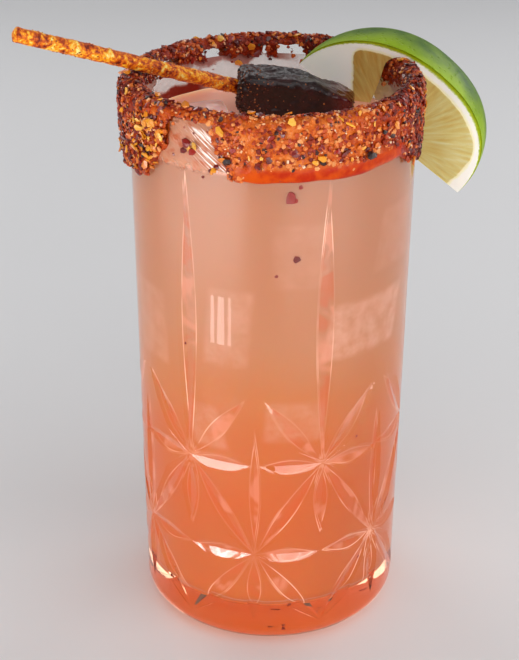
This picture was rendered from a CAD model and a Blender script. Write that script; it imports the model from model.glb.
import math
import random
from contextlib import contextmanager

import bpy
import numpy as np
from mathutils import Matrix, Vector, noise


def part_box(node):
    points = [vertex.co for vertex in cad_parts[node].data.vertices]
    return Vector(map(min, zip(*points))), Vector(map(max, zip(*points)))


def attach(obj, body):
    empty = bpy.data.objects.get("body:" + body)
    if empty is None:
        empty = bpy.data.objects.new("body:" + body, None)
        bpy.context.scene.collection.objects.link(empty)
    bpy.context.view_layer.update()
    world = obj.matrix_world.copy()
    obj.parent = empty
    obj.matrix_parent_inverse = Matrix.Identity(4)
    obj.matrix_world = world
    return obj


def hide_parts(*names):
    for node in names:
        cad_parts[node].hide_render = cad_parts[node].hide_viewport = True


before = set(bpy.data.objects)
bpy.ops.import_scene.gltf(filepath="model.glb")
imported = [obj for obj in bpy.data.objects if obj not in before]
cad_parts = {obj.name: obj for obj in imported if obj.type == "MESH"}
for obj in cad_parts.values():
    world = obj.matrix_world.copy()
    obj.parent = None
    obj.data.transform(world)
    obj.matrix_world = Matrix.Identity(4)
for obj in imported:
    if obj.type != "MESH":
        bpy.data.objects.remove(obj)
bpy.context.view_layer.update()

# The studio: a plain pale table under soft window light, seen from a little above the glass.
# Nothing here belongs to the drink.
bpy.context.scene.view_settings.view_transform = "Standard"
MIDDLE_OF_GLASS = Vector((0.0, 0.0, 0.075))


def clear_selection():
    """Leaves nothing selected."""
    bpy.ops.object.select_all(action="DESELECT")


def select_only(item):
    """Selects one object and makes it active."""
    clear_selection()
    item.select_set(True)
    bpy.context.view_layer.objects.active = item


@contextmanager
def edit_mode(item, selected="SELECT"):
    """Keeps one object in edit mode for a few operators, with all of its mesh selected or none."""
    select_only(item)
    bpy.ops.object.mode_set(mode="EDIT")
    bpy.ops.mesh.select_all(action=selected)
    yield
    bpy.ops.object.mode_set(mode="OBJECT")


class Socket:
    """A value in a material's nodes: sums and products on it add the Math nodes that they stand for."""

    def __init__(self, tree, output):
        self.tree = tree
        self.output = output

    def node(self, kind, settings=None, sockets=None, output=0):
        """Adds a node with its settings and sockets, and gives one of its outputs."""
        made = self.tree.nodes.new(kind)
        for name, value in (settings or {}).items():
            if name == "stops":
                set_stops(made.color_ramp, value)
            else:
                setattr(made, name, value)
        for name, value in (sockets or {}).items():
            fill(self.tree, made.inputs[name], value)
        return Socket(self.tree, made.outputs[output])

    def maths(self, operation, *values):
        """One Math node over plain values and Sockets."""
        return self.node("ShaderNodeMath", {"operation": operation}, dict(enumerate(values)))

    def __add__(self, other):
        return self.maths("ADD", self, other)

    __radd__ = __add__

    def __sub__(self, other):
        return self.maths("SUBTRACT", self, other)

    def __rsub__(self, other):
        return self.maths("SUBTRACT", other, self)

    def __mul__(self, other):
        return self.maths("MULTIPLY", self, other)

    __rmul__ = __mul__

    def __truediv__(self, other):
        return self.maths("DIVIDE", self, other)

    def __rtruediv__(self, other):
        return self.maths("DIVIDE", other, self)

    def __pow__(self, other):
        return self.maths("POWER", self, other)

    def size(self):
        """The value without its sign."""
        return self.maths("ABSOLUTE", self)

    def at_least(self, other):
        """The greater of two values."""
        return self.maths("MAXIMUM", self, other)

    def step(self, low, high):
        """Rises smoothly from 0 at low to 1 at high; high may be the smaller one."""
        sockets = {"Value": self, "From Min": low, "From Max": high}
        return self.node("ShaderNodeMapRange", {"interpolation_type": "SMOOTHSTEP"}, sockets)

    def ramp(self, *stops):
        """The colour at this value between stops, each a share of the way and a colour from 0 to 255."""
        return self.node("ShaderNodeValToRGB", {"stops": stops}, {"Fac": self})

    def axis(self, letter):
        """One of the three numbers of a place."""
        return self.node("ShaderNodeSeparateXYZ", {}, {"Vector": self}, letter)

    def kept(self, name):
        """The number that a mesh keeps for each vertex under a name."""
        return self.node("ShaderNodeAttribute", {"attribute_name": name}, output="Fac")


def fill(tree, socket, value):
    """Links a Socket into a node's socket, or sets a plain value on it."""
    if isinstance(value, Socket):
        tree.links.new(value.output, socket)
    else:
        socket.default_value = value


def set_stops(ramp, stops):
    """Sets a colour ramp's stops, each a share of the way and a colour from 0 to 255."""
    while len(ramp.elements) < len(stops):
        ramp.elements.new(1.0)
    for element, (share, *colour) in zip(ramp.elements, stops):
        element.position = share
        element.color = paint(*colour)


def paint(red, green, blue):
    """A colour given as a screen shows it, from 0 to 255, made linear."""
    shares = [value / 255 for value in (red, green, blue)]
    linear = [s / 12.92 if s < 0.04045 else ((s + 0.055) / 1.055) ** 2.4 for s in shares]
    return (*linear, 1.0)


def new_material(name, **constants):
    """A material with its shader's plain sockets set, and its place on the object as a Socket."""
    made = bpy.data.materials.new(name)
    made.use_nodes = True
    tree = made.node_tree
    for words, value in constants.items():
        tree.nodes["Principled BSDF"].inputs[words.replace("_", " ")].default_value = value
    place = Socket(tree, tree.nodes.new("ShaderNodeTexCoord").outputs["Object"])
    return made, place


def feed(made, **sockets):
    """Fills sockets of a material's main shader with what varies over the surface."""
    for words, value in sockets.items():
        fill(made.node_tree, made.node_tree.nodes["Principled BSDF"].inputs[words.replace("_", " ")], value)


def mottle(place, scale, detail=3.0, roughness=0.55, distortion=0.0):
    """Noise between about 0 and 1 at a number of patches for each metre."""
    sockets = {"Vector": place, "Scale": scale, "Detail": detail, "Roughness": roughness}
    return place.node("ShaderNodeTexNoise", {}, {**sockets, "Distortion": distortion})


def blend_of(first, second, factor):
    """Mixes two colours, given as Sockets or plain colours, by a Socket."""
    return factor.node("ShaderNodeMix", {"data_type": "RGBA"}, {0: factor, 6: first, 7: second}, 2)


TABLE_RADIUS = 3.0
TABLE_PLACE = (0.0, 0.0, -0.0003)
clear_selection()
bpy.ops.mesh.primitive_circle_add(vertices=96, radius=TABLE_RADIUS, fill_type="NGON", location=TABLE_PLACE)
table = bpy.context.active_object
table.name = "table_top"
with edit_mode(table):
    bpy.ops.mesh.inset(thickness=TABLE_RADIUS * 0.2)
pale, place = new_material("pale_table", Roughness=0.55)
feed(pale, Base_Color=blend_of(paint(226, 225, 226), paint(232, 231, 231), mottle(place, 3.0)))
table.data.materials.append(pale)

world = bpy.data.worlds.new("soft_daylight")
bpy.context.scene.world = world
world.use_nodes = True
world.node_tree.nodes["Background"].inputs["Color"].default_value = (0.92, 0.95, 1.0, 1.0)
world.node_tree.nodes["Background"].inputs["Strength"].default_value = 0.19


def softbox(name, turn, rise, away, width, height, power):
    """A soft lamp aimed at the glass and seen from it at a turn from the front and a rise, in degrees."""
    turn, rise = math.radians(turn), math.radians(rise)
    towards = Vector((math.sin(turn) * math.cos(rise), -math.cos(turn) * math.cos(rise), math.sin(rise)))
    facing = (math.pi / 2 - rise, 0.0, turn)
    bpy.ops.object.light_add(type="AREA", location=MIDDLE_OF_GLASS + towards * away, rotation=facing)
    lamp = bpy.context.active_object
    lamp.name = name
    lamp.data.shape = "RECTANGLE"
    lamp.data.size = width
    lamp.data.size_y = height
    lamp.data.energy = power
    lamp.visible_camera = False
    return lamp


# Each lamp: its name, its turn and rise in degrees, how far off it stands, its width, height and power.
LAMPS = (
    ("window", -43.5, -1.2, 0.75, 0.60, 0.12, 2.35),
    ("white_wall", 22, -1.2, 0.75, 0.34, 0.12, 0.7),
    ("overhead", 8, 64, 0.9, 0.9, 0.7, 1.95),
    ("front_fill", 12, 40, 1.0, 0.8, 0.7, 1.1),
    ("right_fill", 64, 14, 0.9, 0.6, 0.5, 3.15),
    ("low_strip", 47, -7, 0.48, 0.16, 0.05, 0.12),
    ("back_left", -135, 30, 0.8, 0.5, 0.5, 1.7),
    ("back_right", 130, 25, 0.8, 0.5, 0.5, 1.8),
    ("back_window", 176, 33, 0.8, 0.40, 0.16, 0.3),
)
for lamp in LAMPS:
    softbox(*lamp)
# The window and the white wall reach down to the table, where the lower row of stars reflects them.
SILL_AWAY = 0.42
SILL_TALL = 0.016
SILL_MIDDLE = 0.0082
for sill_turn, sill_width, sill_power in ((-51, 0.52, 0.36), (24, 0.26, 0.07)):
    sill = softbox("sill", sill_turn, 0, SILL_AWAY, sill_width, SILL_TALL, sill_power)
    sill.location.z = SILL_MIDDLE
# A white card lies on the table in three strips, and shows in the glass's plain front as a window would.
CARD_AWAY = 0.226
CARD_LENGTH = 0.040
CARD_HEIGHT = 0.001
for card_turn, card_width, card_power in ((-47, 0.012, 0.006), (-40, 0.022, 0.012), (-33, 0.010, 0.004)):
    card = softbox("white_card", card_turn, 0, CARD_AWAY, card_width, CARD_LENGTH, card_power)
    card.location.z = CARD_HEIGHT
    card.rotation_euler = (math.pi, 0.0, math.radians(card_turn))

CAMERA_PLACE = (-0.00415, -0.4031, 0.2741)
CAMERA_TILT = math.pi / 2 - 0.451
CAMERA_ROLL = -0.0047
bpy.ops.object.camera_add(location=CAMERA_PLACE, rotation=(CAMERA_TILT, CAMERA_ROLL, 0.0))
camera = bpy.context.active_object
camera.data.sensor_width = 36.0
camera.data.lens = 90.0
bpy.context.scene.camera = camera

# The glass: a heavy-footed highball of clear soda glass, blown in a mould, with two rows of stars
# ground into its outside by a V-edged wheel and polished until they shine.
GLASS_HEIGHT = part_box("glass")[1].z
RIM_RADIUS = 0.0368
BASE_RADIUS = 0.0350
WALL = 0.0026
FLOOR = 0.0110
HEEL_RADIUS = 0.0065
INNER_CORNER = 0.0060
# The foot's underside, as (radius, height).
KICK = [(0.0262, 0.0), (0.0240, 0.0004), (0.0200, 0.0011), (0.0120, 0.0018), (0.0, 0.0021)]
SIDES = 192
STARS_PER_ROW = 6
UPPER_ROW_HEIGHT = 0.0568
LOWER_ROW_HEIGHT = 0.0296
UPPER_ROW_TURN = math.radians(-37.5)
FLUTE_TOP = 0.1355
SLANT_RISE = 0.0225
SHORT_RAY = 0.0215
LONG_RAY = 0.0375
RAY_END_GAP = 0.0004
LEVEL_RAY_END_GAP = 0.0010
SLANT_END_GAP = 0.0042
RAY_WIDTH = 0.0044
FLUTE_WIDTH = 0.0050
LONG_RAY_WIDTH = 0.0034
RAY_DEPTH = 0.0007
# The share of the wheel's radius at which its edge leaves the glass's face.
WHEEL_SHARE = math.sqrt(3) / 2
STAVE_DEPTH = 0.0015
SEAM = 0.00005
CUT_TOP = 0.1370
HALF_PITCH = math.pi / STARS_PER_ROW


def outer_radius(height):
    """Radius of the glass's outer face at a height, above its heel."""
    return BASE_RADIUS + (RIM_RADIUS - BASE_RADIUS) * height / GLASS_HEIGHT


REACH = HALF_PITCH * outer_radius(UPPER_ROW_HEIGHT)
ROW_DROP = UPPER_ROW_HEIGHT - LOWER_ROW_HEIGHT
SLANT_ANGLE = math.atan2(SLANT_RISE, REACH)
SLANT_LENGTH = math.hypot(SLANT_RISE, REACH)
# Each ray: its star's turn and height, its own angle, length and width, and the gap at its far end.
UPPER_STAR = (0.0, UPPER_ROW_HEIGHT)
LOWER_STAR = (HALF_PITCH, LOWER_ROW_HEIGHT)
DOWN = -math.pi / 2
RAYS = [
    (*UPPER_STAR, math.pi / 2, FLUTE_TOP - UPPER_ROW_HEIGHT, FLUTE_WIDTH, 0.0),
    (*UPPER_STAR, DOWN, SHORT_RAY, RAY_WIDTH, RAY_END_GAP),
    (*UPPER_STAR, 0.0, REACH, RAY_WIDTH, LEVEL_RAY_END_GAP),
    (*UPPER_STAR, SLANT_ANGLE, SLANT_LENGTH, RAY_WIDTH, SLANT_END_GAP),
    (*UPPER_STAR, -math.atan2(ROW_DROP, REACH), math.hypot(ROW_DROP, REACH), RAY_WIDTH, RAY_END_GAP),
    (*LOWER_STAR, math.pi / 2, LONG_RAY, LONG_RAY_WIDTH, 0.0),
    (*LOWER_STAR, DOWN, SHORT_RAY, RAY_WIDTH, RAY_END_GAP),
    (*LOWER_STAR, math.pi, REACH, RAY_WIDTH, LEVEL_RAY_END_GAP),
    (*LOWER_STAR, math.pi + SLANT_ANGLE, SLANT_LENGTH, RAY_WIDTH, RAY_END_GAP),
]


def arc(centre_r, centre_z, radius, start, end, steps):
    """Points of an arc in the (radius, height) plane, between two angles in degrees."""
    turns = [math.radians(start + (end - start) * i / steps) for i in range(steps + 1)]
    return [(centre_r + radius * math.cos(t), centre_z + radius * math.sin(t)) for t in turns]


def straight(first, last, steps):
    """Points of a straight line, both ends included."""
    return [tuple(a + (b - a) * i / steps for a, b in zip(first, last)) for i in range(steps + 1)]


def on_round(turn, radius, height):
    """Point at a turn from the front, a radius and a height."""
    return Vector((radius * math.sin(turn), -radius * math.cos(turn), height))


def drawn_line(name, points):
    """Draws a line of (radius, height) points beside the axis, by extruding one vertex after another."""
    clear_selection()
    bpy.ops.mesh.primitive_plane_add(size=0.001)
    line = bpy.context.active_object
    line.name = name
    with edit_mode(line):
        bpy.ops.mesh.merge(type="CENTER")
        bpy.ops.transform.translate(value=(points[0][0], 0.0, points[0][1]))
        for (r, z), (next_r, next_z) in zip(points, points[1:]):
            bpy.ops.mesh.extrude_region_move(TRANSFORM_OT_translate={"value": (next_r - r, 0.0, next_z - z)})
        bpy.ops.mesh.select_all(action="SELECT")
        bpy.ops.mesh.remove_doubles(threshold=0.000002)
    return line


def apply_modifiers(item):
    """Applies an object's modifiers in order."""
    select_only(item)
    for modifier in list(item.modifiers):
        bpy.ops.object.modifier_apply(modifier=modifier.name)


def turned(name, points, sides, angle=math.tau):
    """Turns a line of (radius, height) points round the axis and welds its seam."""
    line = drawn_line(name, points)
    screw = line.modifiers.new("Turn", "SCREW")
    screw.axis = "Z"
    screw.angle = angle
    screw.steps = sides
    screw.render_steps = sides
    screw.use_merge_vertices = True
    screw.merge_threshold = 0.000003
    apply_modifiers(line)
    return line


def face_outwards(item):
    """Welds an object's mesh and turns its faces outwards."""
    with edit_mode(item):
        bpy.ops.mesh.remove_doubles(threshold=0.000005)
        bpy.ops.mesh.normals_make_consistent(inside=False)


def smooth(item, angle=30.0):
    """Shades an object smooth, with creases past an angle in degrees."""
    select_only(item)
    bpy.ops.object.shade_smooth_by_angle(angle=math.radians(angle))


def joined(name, items):
    """Joins objects into one."""
    clear_selection()
    for item in items:
        item.select_set(True)
    bpy.context.view_layer.objects.active = items[0]
    bpy.ops.object.join()
    items[0].name = name
    return items[0]


def drop_faces(item, unwanted):
    """Deletes the faces whose middle and normal the given test is true for."""
    with edit_mode(item, "DESELECT"):
        bpy.ops.mesh.select_mode(type="FACE")
    for face in item.data.polygons:
        face.select = unwanted(face.center, face.normal)
    bpy.ops.object.mode_set(mode="EDIT")
    bpy.ops.mesh.delete(type="FACE")
    bpy.ops.mesh.select_mode(type="VERT")
    bpy.ops.object.mode_set(mode="OBJECT")


def cut_away(item, cutter):
    """Takes a cutter's form out of an object, and then takes the cutter away."""
    cut = item.modifiers.new("Cut", "BOOLEAN")
    cut.operation = "DIFFERENCE"
    cut.solver = "EXACT"
    cut.object = cutter
    apply_modifiers(item)
    bpy.data.objects.remove(cutter, do_unlink=True)


def wheel_cut(turn, height, angle, length, width, end_gap):
    """A cutter shaped like a V-edged wheel, laid on the glass's face along one ray of a star."""
    clear_selection()
    bpy.ops.mesh.primitive_cone_add(
        vertices=36, radius1=1.0, depth=1.0, end_fill_type="NOTHING", location=(0, 0, 0.5)
    )
    bpy.ops.object.transform_apply()
    wheel = bpy.context.active_object
    other_half = wheel.modifiers.new("Other half", "MIRROR")
    other_half.use_axis = (False, False, True)
    other_half.merge_threshold = 0.0001
    apply_modifiers(wheel)
    middle = (RAY_END_GAP + length - end_gap) / 2
    half_length = (length - end_gap - RAY_END_GAP) / 2
    for vertex in wheel.data.vertices:
        along = middle + half_length * vertex.co.x / WHEEL_SHARE
        across = width * vertex.co.z
        out = RAY_DEPTH * (1 + 2 * vertex.co.y)
        sideways = along * math.cos(angle) - across * math.sin(angle)
        upwards = height + along * math.sin(angle) + across * math.cos(angle)
        vertex.co = on_round(turn + sideways / outer_radius(height), outer_radius(upwards) + out, upwards)
    face_outwards(wheel)
    return wheel


def cut_face():
    """The cut outside of one twelfth of the glass, from an upper star's middle to a lower star's middle."""
    outside = straight((outer_radius(CUT_TOP), CUT_TOP), (outer_radius(HEEL_RADIUS), HEEL_RADIUS), 12)
    inside = [(r - STAVE_DEPTH, z) for r, z in reversed(outside)]
    stave = turned("stave", [*outside, *inside, outside[0]], SIDES // 12, HALF_PITCH)
    with edit_mode(stave, "DESELECT"):
        bpy.ops.mesh.select_non_manifold()
        bpy.ops.mesh.fill_holes(sides=0)
    stave.rotation_euler.z = -math.pi / 2
    bpy.ops.object.transform_apply()
    face_outwards(stave)
    for ray in RAYS:
        cut_away(stave, wheel_cut(*ray))

    def unwanted(centre, normal):
        """True for what isn't the cut outside: the back of the stave, its two sides, its top and bottom."""
        turn = math.atan2(centre.x, -centre.y)
        backed = math.hypot(centre.x, centre.y) < outer_radius(centre.z) - RAY_DEPTH * 1.4
        return backed or min(turn, HALF_PITCH - turn) < SEAM or abs(normal.z) > 0.9

    drop_faces(stave, unwanted)
    mirror = stave.modifiers.new("Other half", "MIRROR")
    mirror.merge_threshold = 0.000005
    apply_modifiers(stave)
    return stave


def ground_glass():
    """The whole glass: six cut staves, the lip and the hollow above them, the heel and the foot below."""
    stave = cut_face()
    staves = []
    for star in range(STARS_PER_ROW):
        copy = stave.copy()
        copy.data = stave.data.copy()
        bpy.context.collection.objects.link(copy)
        copy.rotation_euler.z = UPPER_ROW_TURN + star * math.tau / STARS_PER_ROW
        select_only(copy)
        bpy.ops.object.transform_apply()
        staves.append(copy)
    bpy.data.objects.remove(stave, do_unlink=True)
    lip_z = GLASS_HEIGHT - WALL / 2
    lip_r = outer_radius(lip_z) - WALL / 2
    corner_r = outer_radius(FLOOR) - WALL - INNER_CORNER
    lip = arc(lip_r, lip_z, WALL / 2, 0, 180, 14)
    corner = arc(corner_r, FLOOR + INNER_CORNER, INNER_CORNER, 0, -90, 8)
    hollow = [(outer_radius(CUT_TOP), CUT_TOP), *lip, *straight(lip[-1], corner[0], 6)[1:]]
    hollow += [*corner[1:], (0.0, FLOOR)]
    heel = arc(outer_radius(HEEL_RADIUS) - HEEL_RADIUS, HEEL_RADIUS, HEEL_RADIUS, 0, -90, 8)
    upper = turned("hollow", hollow, SIDES)
    lower = turned("foot", [*heel, *KICK], SIDES)
    whole = joined("highball_glass", [*staves, upper, lower])
    face_outwards(whole)
    smooth(whole, 13.0)
    return whole


def dress(piece, made, slot, *replaced):
    """Gives a finished piece its material, its slot and its body, and hides the solids it stands for."""
    piece.data.materials.clear()
    piece.data.materials.append(made)
    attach(piece, "root")
    if replaced:
        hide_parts(*replaced)


glass = ground_glass()
clear, place = new_material(
    "clear_soda_glass",
    Base_Color=(0.97, 0.985, 0.985, 1.0), Transmission_Weight=1.0, IOR=1.5, Roughness=0.02,
)
tree = clear.node_tree
open_to_lamps = place.node("ShaderNodeBsdfTransparent", output="BSDF")
shadow = place.node("ShaderNodeLightPath", output="Is Shadow Ray")
shader = Socket(tree, tree.nodes["Principled BSDF"].outputs["BSDF"])
lit = place.node("ShaderNodeMixShader", {}, {0: shadow, 1: shader, 2: open_to_lamps})
tree.links.new(lit.output, tree.nodes["Material Output"].inputs["Surface"])
tint = place.node("ShaderNodeVolumeAbsorption", {}, {"Color": (0.955, 0.56, 0.26, 1.0), "Density": 26.0})
tree.links.new(tint.output, tree.nodes["Material Output"].inputs["Volume"])
dress(glass, clear, "clear_glass", "glass")

# The drink: tequila, lime and orange juice, cloudy with pulp, deeper orange towards the foot where the
# chilli syrup has sunk. It wets the glass all round, and crushed and cubed ice shows paler through it.
DRINK_LEVEL = 0.1370
INTO_WALL = 0.0004
MENISCUS = 0.0009
SURFACE_SWELL = 0.00035
MIDDLE_HEIGHT = 0.07
ICE_MELT = 0.0012
THROWN_DOWN = 0.0009
THROWN_LINE = 0.00022


def poured_drink():
    """The drink, reaching just into the glass's wall, with a surface that climbs a little up the wall."""
    floor = FLOOR - INTO_WALL
    corner_r = outer_radius(FLOOR) - WALL - INNER_CORNER
    corner = arc(corner_r, FLOOR + INNER_CORNER, INNER_CORNER + INTO_WALL, 0, -90, 8)
    top_r = outer_radius(DRINK_LEVEL) - WALL + INTO_WALL
    climb = [(top_r - 0.0036, DRINK_LEVEL), (top_r - 0.0018, DRINK_LEVEL + MENISCUS * 0.2)]
    climb += [(top_r - 0.0008, DRINK_LEVEL + MENISCUS * 0.6), (top_r, DRINK_LEVEL + MENISCUS)]
    middle = straight((0.0, DRINK_LEVEL), climb[0], 12)[:-1]
    side = straight(climb[-1], corner[0], 24)[1:]
    drink = turned("poured_drink", [*middle, *climb, *side, *corner[1:], (0.0, floor)], 144)
    face_outwards(drink)
    for vertex in drink.data.vertices:
        if vertex.co.z > DRINK_LEVEL - 0.0001:
            swell = noise.noise(Vector((vertex.co.x * 90, vertex.co.y * 90, 4.0)))
            vertex.co.z += SURFACE_SWELL * swell
    smooth(drink, 60.0)
    return drink


def turn_from_front(place):
    """The turn of a place round the glass's axis, from the front."""
    return place.maths("ARCTAN2", place.axis("X"), place.axis("Y") * -1.0)


def bump_of(height, depth, strength=1.0):
    """A normal bent by a height between 0 and 1, over a depth in metres."""
    return height.node("ShaderNodeBump", {}, {"Height": height, "Distance": depth, "Strength": strength})


drink = poured_drink()
cloudy, place = new_material(
    "cloudy_drink", Roughness=0.2, IOR=1.34, Emission_Strength=0.55,
    Subsurface_Weight=1.0, Subsurface_Radius=(1.0, 0.55, 0.35), Subsurface_Scale=0.012,
)
height = place.axis("Z")
round_turn = turn_from_front(place)
round_way = round_turn * outer_radius(MIDDLE_HEIGHT)
sunk = height.step(FLOOR, DRINK_LEVEL) + (mottle(place, 38.0, 3.0, 0.5) - 0.5) * 0.22
body = sunk.ramp(
    (0.00, 193, 102, 40),
    (0.18, 196, 100, 36),
    (0.34, 196, 108, 48),
    (0.52, 193, 122, 70),
    (0.72, 188, 131, 94),
    (1.00, 186, 131, 100),
)


def ice_face(turn, middle, width, tall, lean):
    """A pale four-cornered patch where a sunk ice cube leans on the glass, at a turn in degrees."""
    side = round_way - math.radians(turn) * outer_radius(MIDDLE_HEIGHT) + (height - middle) * lean
    reach_side = side.size().step(width / 2 + ICE_MELT, width / 2 - ICE_MELT)
    return reach_side * (height - middle).size().step(tall / 2 + ICE_MELT, tall / 2 - ICE_MELT)


# Each face: its turn in degrees, its middle's height, its width and height, its lean, and how pale it is.
ICE_FACES = [
    (44.0, 0.0930, 0.0260, 0.0150, -0.27, 0.75),
    (-19.0, 0.0950, 0.0120, 0.0210, -0.10, 0.45),
    (12.0, 0.1150, 0.0150, 0.0170, 0.04, 0.25),
    (-62.0, 0.0900, 0.0140, 0.0200, 0.06, 0.35),
    (-30.0, 0.0660, 0.0100, 0.0120, 0.30, 0.35),
    (10.0, 0.0690, 0.0160, 0.0110, -0.10, 0.35),
    (62.0, 0.1150, 0.0170, 0.0160, -0.20, 0.30),
    (105.0, 0.0860, 0.0180, 0.0170, 0.12, 0.45),
    (150.0, 0.1110, 0.0160, 0.0190, -0.10, 0.40),
    (-165.0, 0.0800, 0.0180, 0.0150, 0.08, 0.45),
    (-118.0, 0.1080, 0.0170, 0.0180, 0.04, 0.40),
]
icy = 0.0
for *face, paleness in ICE_FACES:
    icy = ice_face(*face) * paleness + icy
body = blend_of(body, paint(216, 168, 146), icy * mottle(place, 220.0, 4.0, 0.65).step(0.15, 0.75))
star_way = place.maths("PINGPONG", round_turn - UPPER_ROW_TURN, HALF_PITCH)


def thrown_light(turn, tall, angle, length, width, end_gap):
    """The bright outline that one cut throws on the drink behind it, and the inside of that outline."""
    side = (star_way - turn) * outer_radius(tall)
    rise = height - (tall - THROWN_DOWN)
    along = side * math.cos(angle) + rise * math.sin(angle)
    apart = side * math.sin(angle) - rise * math.cos(angle)
    half_length = (length - end_gap - RAY_END_GAP) / 2
    share = (along - (RAY_END_GAP + half_length)) / half_length * WHEEL_SHARE
    half_width = (1.0 - (share * share + 0.25) ** 0.5) * width
    edge = half_width - apart.size()
    line = edge.size().step(THROWN_LINE, THROWN_LINE / 4)
    return line * half_width.step(-0.0002, 0.0001), edge.step(0.0, THROWN_LINE)


outlines = 0.0
insides = 0.0
for ray in RAYS:
    outline, inside = thrown_light(*ray)
    outlines = outline.at_least(outlines)
    insides = inside.at_least(insides)
broken = mottle(place, 95.0, 2.0, 0.5, 0.6)
body = blend_of(body, paint(206, 96, 44), insides * broken.step(0.52, 0.40) * 0.45)
body = blend_of(body, paint(232, 160, 134), insides * broken.step(0.50, 0.62) * 0.45)
glinting = mottle(place, 75.0, 2.0).step(0.40, 0.62) * mottle(place, 26.0, 1.0).step(0.32, 0.58)
body = blend_of(body, paint(255, 214, 190), outlines * (glinting * 0.75 + 0.10))
floor_line = height - (FLOOR + 0.0022) + (mottle(place, 130.0, 2.0) - 0.5) * 0.0016
body = blend_of(body, paint(190, 148, 142), floor_line.size().step(0.0003, 0.0001) * 0.5)
glow = blend_of((0.0, 0.0, 0.0, 1.0), paint(222, 116, 34), height.step(FLOOR + 0.0012, FLOOR - 0.0002))
at_surface = height.step(DRINK_LEVEL - 0.0016, DRINK_LEVEL - 0.0004)
glow = blend_of(glow, paint(150, 104, 90), at_surface)
body = blend_of(body, paint(232, 176, 152), at_surface * 0.8)
feed(cloudy, Base_Color=body, Emission_Color=glow, Normal=bump_of(mottle(place, 160.0), 0.0001, 0.3))
dress(drink, cloudy, "cloudy_drink", "drink")

# The rim: the lip was dipped in chamoy, a chilli and apricot sauce, then rolled in chilli, salt and sugar.
# The sauce sets to a sticky coat, thick at the left, wiped off beside it, and smooth where it ran in front.
COAT_TOP = 0.0009
COAT_INSIDE = 0.0007
COAT_LEAST = 0.0004
COAT_OUTSIDE = 0.0010
CLUMP_THICKER = 0.0011
WIPED_THINNER = 0.0005
COARSE_LUMPS = 0.00042
FINE_LUMPS = 0.00016
RUN_SWELL = 0.00045
COAT_INNER_DEPTH = 0.0042
COAT_TAPER = 0.55
COAT_GAP = 0.0003
# How far the coat reaches down the outside, at turns in degrees from the front.
SKIRT_STOPS = (
    (-180, 0.0032), (-140, 0.0036), (-120, 0.0060), (-100, 0.0150), (-86, 0.0200), (-66, 0.0180),
    (-58, 0.0175), (-53, 0.0140), (-46, 0.0090), (-40, 0.0048), (-34, 0.0034), (-24, 0.0036),
    (-20, 0.0070), (-16, 0.0132), (28, 0.0130), (55, 0.0120), (66, 0.0155), (84, 0.0185),
    (100, 0.0120), (125, 0.0050), (150, 0.0030), (180, 0.0032),
)
SKIRT_WAVE = 0.0004
COAT_ROUNDS = 560
SKIRT_STEPS = 26
LONGEST_LINE = 0.031
LIP_MIDDLE = (outer_radius(GLASS_HEIGHT - WALL / 2) - WALL / 2, GLASS_HEIGHT - WALL / 2)
BAND_TURNS = (-17, 62)
WIPED_TURNS = (-47, -20)
RUBBED_TURNS = ((-134, -116), (-160, -142), (163, 181), (-180, -172))
random.seed(8)


def wave(turn, seed, scale):
    """A smooth uneven value between about -1 and 1 that closes on itself round the rim."""
    return noise.noise(Vector((math.cos(turn) * scale, math.sin(turn) * scale, seed))) * 1.6


def degrees_from_front(turn):
    """A turn in degrees, between -180 and 180."""
    return math.degrees(math.atan2(math.sin(turn), math.cos(turn)))


def eased(low, high, value):
    """Rises smoothly from 0 at low to 1 at high."""
    share = min(1.0, max(0.0, (value - low) / (high - low)))
    return share * share * (3 - 2 * share)


def within(first, last, rise, fall, value):
    """1 between first and last, easing up over a rise from first and down over a fall to last."""
    return eased(first, first + rise, value) * (1 - eased(last - fall, last, value))


def skirt_depth(turn):
    """How far the coat reaches down the outer face at a turn from the front."""
    degrees = degrees_from_front(turn)
    for (first, depth), (second, next_depth) in zip(SKIRT_STOPS, SKIRT_STOPS[1:]):
        if degrees <= second:
            break
    return depth + (next_depth - depth) * eased(first, second, degrees) + SKIRT_WAVE * wave(turn, 3.0, 6.0)


def coat_thickness(turn):
    """Thickness of the coat on the outer face: thick at the left, plain at the front, thin where wiped."""
    degrees = degrees_from_front(turn)
    thick_left = math.exp(-(((degrees + 82) / 20) ** 2))
    wiped = math.exp(-(((degrees + 31) / 10) ** 4))
    return COAT_OUTSIDE + CLUMP_THICKER * thick_left - WIPED_THINNER * wiped


def band_share(turn):
    """How far the sauce at a turn has run down smooth, with no grains in it, from 0 to 1."""
    return within(*BAND_TURNS, 8, 10, degrees_from_front(turn))


def coat_line(turn):
    """The coat's outer side at a turn, as (radius, height): up the inside, over the lip, down the skirt."""
    lip_r, lip_z = LIP_MIDDLE
    inner_z = lip_z - COAT_INNER_DEPTH * (1.0 + 0.35 * wave(turn, 9.0, 3.0))
    inner_r = outer_radius(inner_z) - WALL - COAT_GAP
    over = WALL / 2 + COAT_GAP + COAT_TOP
    line = [(inner_r, inner_z), (inner_r - COAT_INSIDE, inner_z + 0.0006)]
    line += straight(line[-1], (lip_r - over, lip_z), 4)[1:-1]
    for cosine, sine in arc(0.0, 0.0, 1.0, 180, 0, 12):
        extra = max(0.0, cosine) * (coat_thickness(turn) - COAT_TOP)
        line.append((lip_r + (over + extra) * cosine, lip_z + over * sine))
    for step in range(1, SKIRT_STEPS + 1):
        share = step / SKIRT_STEPS
        height = lip_z - skirt_depth(turn) * share
        thickness = coat_thickness(turn) * (1.0 - COAT_TAPER * share ** 3)
        line.append((outer_radius(height) + COAT_GAP + max(COAT_LEAST, thickness), height))
    return [*line, (outer_radius(line[-1][1]) + COAT_GAP, line[-1][1] - 0.0003)]


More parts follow.
